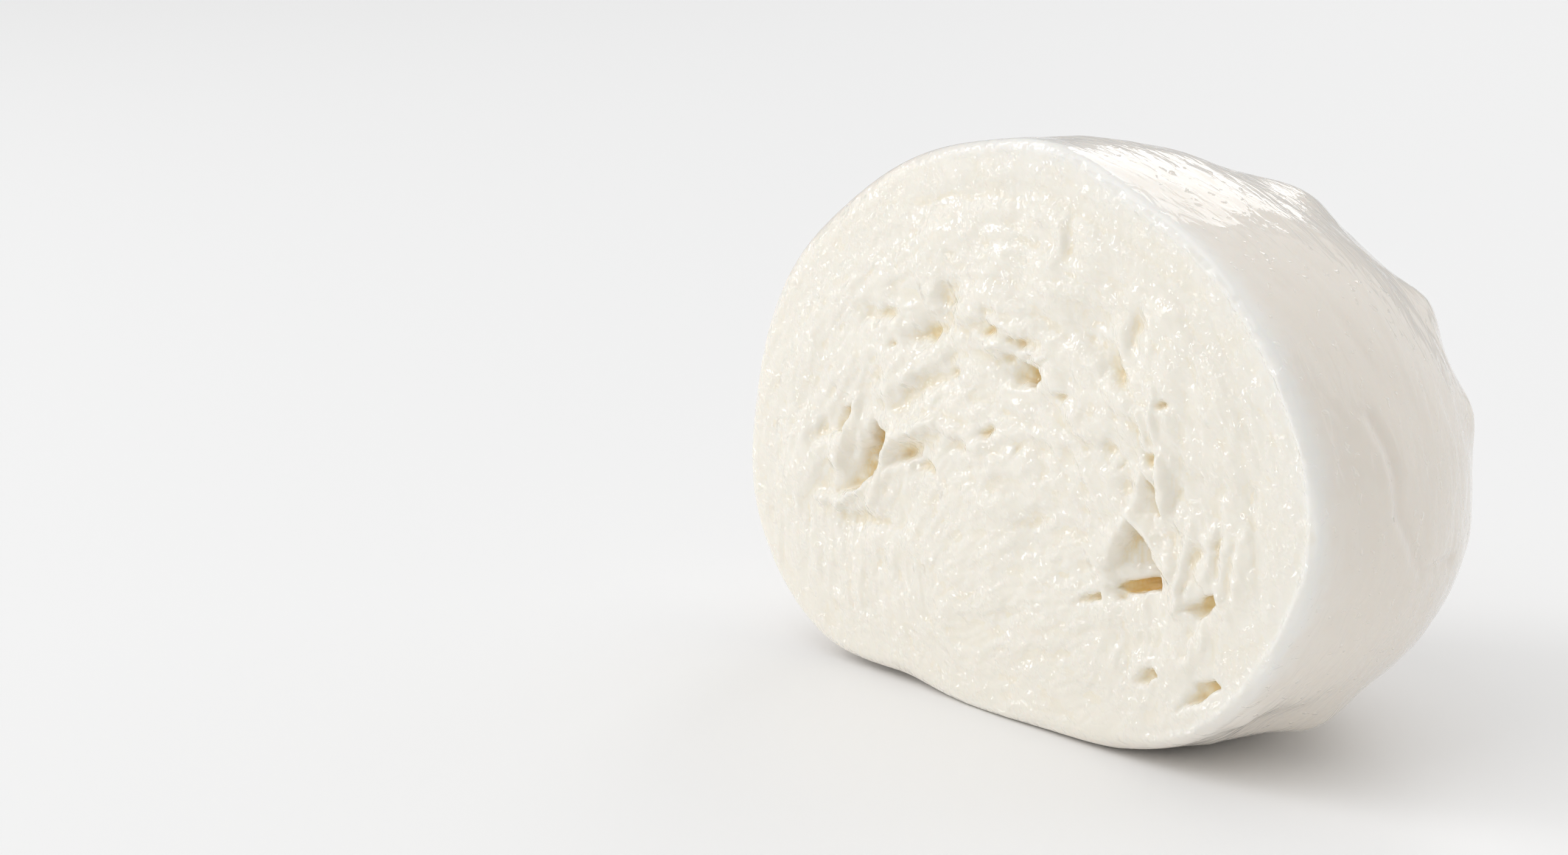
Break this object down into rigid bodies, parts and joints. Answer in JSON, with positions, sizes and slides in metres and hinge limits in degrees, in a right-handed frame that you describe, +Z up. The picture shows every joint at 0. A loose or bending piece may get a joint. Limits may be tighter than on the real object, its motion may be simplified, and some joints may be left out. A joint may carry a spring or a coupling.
{
  "type": "half of a fresh mozzarella ball",
  "caption": "Half of a fresh mozzarella ball, cut upright, with a moist torn curd face, curd holes and a smooth glossy skin, resting on its flattened belly.",
  "frame": {"origin": "middle of the box around the half, at its bottom, on the surface it rests on", "axes": "+Z up, +X along the width of the cut to the right seen from the cut, -Y out of the cut face and +Y towards the rounded back"},
  "size_m": [0.0834, 0.0416, 0.0603],
  "materials": {
    "cheese": "satin"
  },
  "bodies": {
    "root": {"mozzarella_half": "cheese"}
  },
  "joints": []
}
